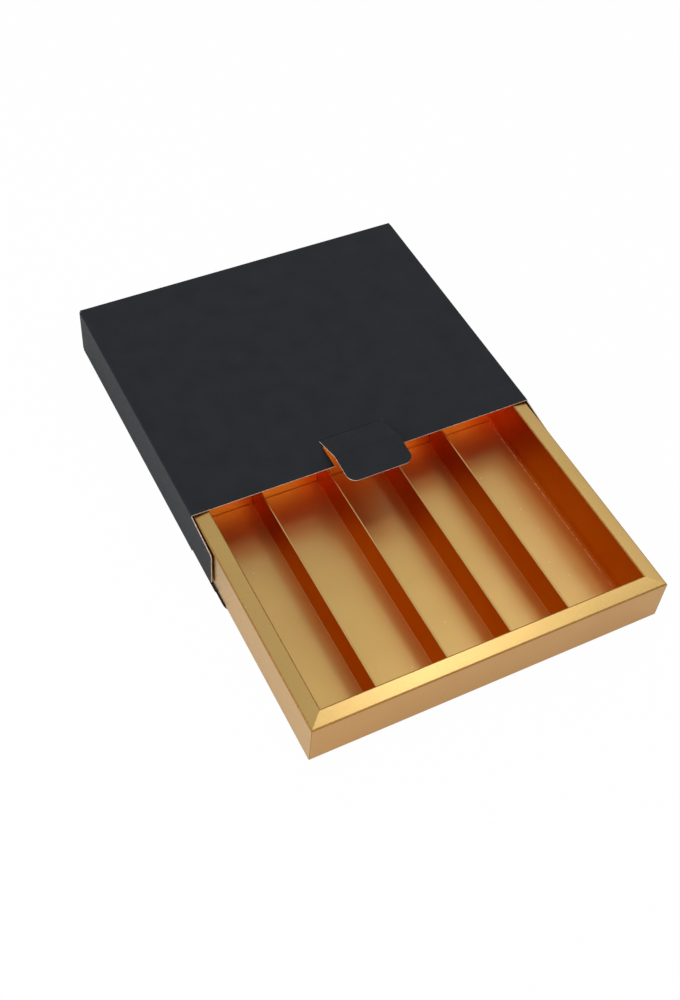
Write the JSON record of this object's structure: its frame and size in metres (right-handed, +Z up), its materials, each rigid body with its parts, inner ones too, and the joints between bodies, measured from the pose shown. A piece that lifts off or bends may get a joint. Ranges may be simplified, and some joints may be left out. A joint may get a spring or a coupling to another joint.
{
  "type": "drawer gift box",
  "caption": "Shallow paperboard gift box: a flat sleeve with a lift-up lock tab and end flaps, and a hollow-walled drawer tray with long lanes between pleated dividers, pulled out.",
  "frame": {"origin": "centre of the sleeve's underside, on the surface it stands on", "axes": "+Z up; the drawer opens towards -Y; +X to the right seen from the open front"},
  "size_m": [0.19, 0.281, 0.034],
  "materials": {
    "black_board": "matte black coated board",
    "gold_board": "satin gold metallised board"
  },
  "bodies": {
    "sleeve": {"sleeve": "black_board", "rear_panel": "black_board", "rear_seam_flap": "black_board", "rear_flap_left": "black_board", "rear_flap_right": "black_board"},
    "tray": {"tray_base": "gold_board", "tray_front_wall": "gold_board", "tray_right_wall": "gold_board", "tray_back_wall": "gold_board", "tray_left_wall": "gold_board", "divider_insert": "gold_board"},
    "tab_base": {"tab_base": "black_board"},
    "tab_tip": {"tab_tip": "black_board"},
    "closing_flap": {"closing_flap": "black_board"},
    "tuck_lip": {"tuck_lip": "black_board"},
    "dust_flap_left": {"dust_flap_left": "black_board"},
    "dust_flap_right": {"dust_flap_right": "black_board"}
  },
  "joints": [
    {"name": "tray_slide", "type": "slide", "parent": "sleeve", "child": "tray", "axis": [0, 1, 0], "range_m": [-0.0124, 0.1282]},
    {"name": "tab_lift", "type": "hinge", "parent": "sleeve", "child": "tab_base", "pos_m": [0, -0.05875, 0.02775], "axis": [-1, 0, 0], "range_deg": [-19.5, 60]},
    {"name": "tab_tip_fold", "type": "hinge", "parent": "tab_base", "child": "tab_tip", "pos_m": [0, -0.07572, 0.03376], "axis": [-1, 0, 0], "range_deg": [-1, 24]},
    {"name": "closing_flap_crease", "type": "hinge", "parent": "sleeve", "child": "closing_flap", "pos_m": [0, -0.07675, 0.00025], "axis": [-1, 0, 0], "range_deg": [-90, 0]},
    {"name": "tuck_lip_crease", "type": "hinge", "parent": "closing_flap", "child": "tuck_lip", "pos_m": [0, -0.10425, 0.00025], "axis": [-1, 0, 0], "range_deg": [-45, 0]},
    {"name": "dust_flap_left_crease", "type": "hinge", "parent": "sleeve", "child": "dust_flap_left", "pos_m": [-0.09475, -0.07675, 0], "axis": [0, 0, -1], "range_deg": [0, 100]},
    {"name": "dust_flap_right_crease", "type": "hinge", "parent": "sleeve", "child": "dust_flap_right", "pos_m": [0.09475, -0.07675, 0], "axis": [0, 0, 1], "range_deg": [0, 100]}
  ]
}
